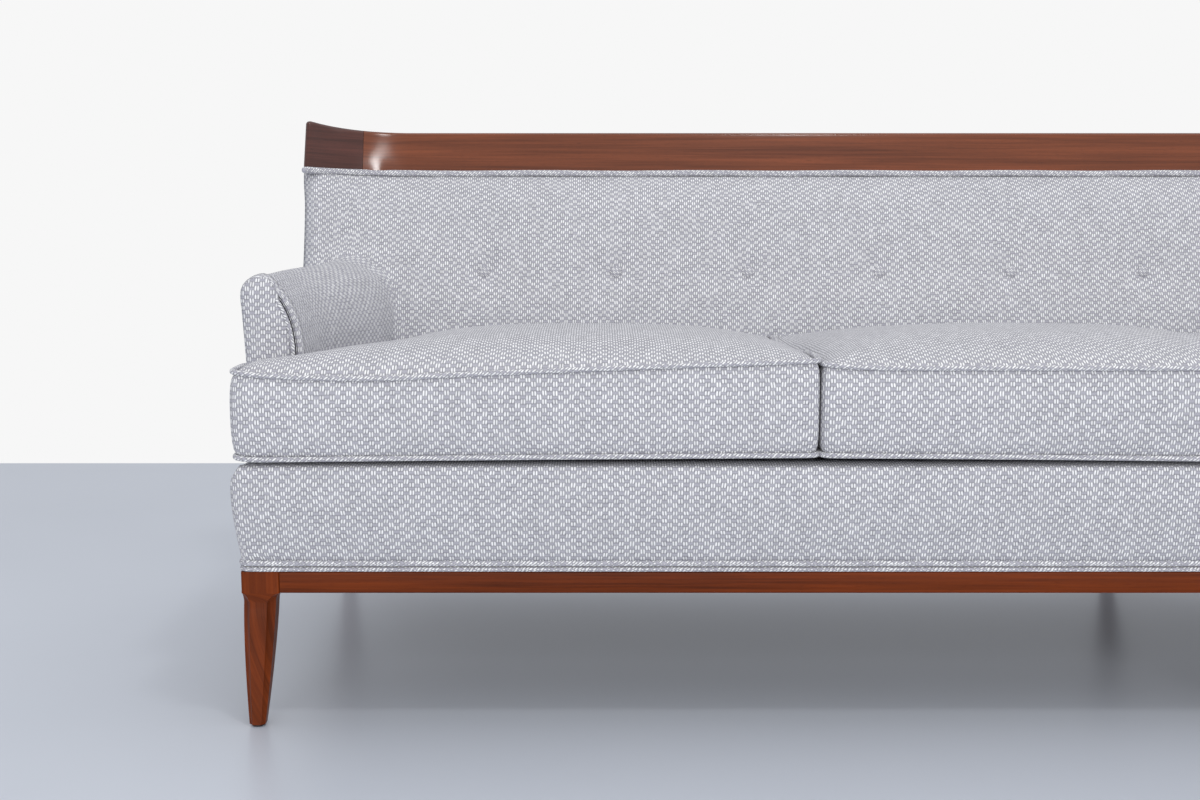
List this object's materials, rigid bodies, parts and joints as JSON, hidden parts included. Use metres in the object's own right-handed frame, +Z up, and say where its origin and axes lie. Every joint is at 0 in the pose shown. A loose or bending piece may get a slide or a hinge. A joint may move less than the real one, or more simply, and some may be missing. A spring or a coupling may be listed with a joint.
{
  "type": "curved sofa",
  "caption": "Long upholstered sofa with a buttoned back that curves forward at its ends, a sculpted wooden crest rail, low arms, loose seat cushions and a wooden base on tapered legs.",
  "frame": {"origin": "on the floor, under the middle of the sofa's bounding box", "axes": "+Z up, +X to the right as seen from the front, -Y towards the person in front of the sofa"},
  "size_m": [2.6256, 0.715, 0.7607],
  "materials": {
    "fabric": "woven, grey and white basket weave",
    "wood": "red-brown, satin lacquer",
    "frame_wood": "bare hardwood",
    "webbing": "woven straps",
    "lining": "thin black cloth"
  },
  "bodies": {
    "sofa_frame": {"front_left_leg": "wood", "front_middle_leg": "wood", "front_right_leg": "wood", "rear_left_leg": "wood", "rear_middle_leg": "wood", "rear_right_leg": "wood", "front_apron": "wood", "rear_apron": "wood", "left_apron": "wood", "right_apron": "wood", "front_base_welt": "fabric", "seat_front_rail": "frame_wood", "seat_rear_rail": "frame_wood", "seat_left_rail": "frame_wood", "seat_right_rail": "frame_wood", "seat_middle_rail": "frame_wood", "seat_webbing": "webbing", "dust_cover": "lining", "deck_platform": "fabric", "deck_front_band": "fabric", "left_arm_frame": "frame_wood", "left_arm_pad": "fabric", "left_arm_front": "fabric", "left_outside_arm": "fabric", "right_arm_frame": "frame_wood", "right_arm_pad": "fabric", "right_arm_front": "fabric", "right_outside_arm": "fabric", "back_pad": "fabric", "back_button_1": "fabric", "back_button_2": "fabric", "back_button_3": "fabric", "back_button_4": "fabric", "back_button_5": "fabric", "back_button_6": "fabric", "back_button_7": "fabric", "back_button_8": "fabric", "back_button_9": "fabric", "back_button_10": "fabric", "back_button_11": "fabric", "left_wing_pad": "fabric", "left_wing_frame": "frame_wood", "left_outside_wing": "fabric", "right_wing_pad": "fabric", "right_wing_frame": "frame_wood", "right_outside_wing": "fabric", "outside_back": "fabric", "back_frame_top_rail": "frame_wood", "left_back_post": "frame_wood", "middle_back_post": "frame_wood", "right_back_post": "frame_wood", "crest_rail": "wood", "left_crest_end": "wood", "right_crest_end": "wood", "crest_welt": "fabric"},
    "left_cushion": {"seat_cushion_left": "fabric"},
    "center_left_cushion": {"seat_cushion_center_left": "fabric"},
    "center_right_cushion": {"seat_cushion_center_right": "fabric"},
    "right_cushion": {"seat_cushion_right": "fabric"}
  },
  "joints": [
    {"name": "left_cushion_lift", "type": "slide", "parent": "sofa_frame", "child": "left_cushion", "axis": [0, 0, 1], "range_m": [0, 0.3]},
    {"name": "center_left_cushion_lift", "type": "slide", "parent": "sofa_frame", "child": "center_left_cushion", "axis": [0, 0, 1], "range_m": [0, 0.3]},
    {"name": "center_right_cushion_lift", "type": "slide", "parent": "sofa_frame", "child": "center_right_cushion", "axis": [0, 0, 1], "range_m": [0, 0.3]},
    {"name": "right_cushion_lift", "type": "slide", "parent": "sofa_frame", "child": "right_cushion", "axis": [0, 0, 1], "range_m": [0, 0.3]}
  ]
}
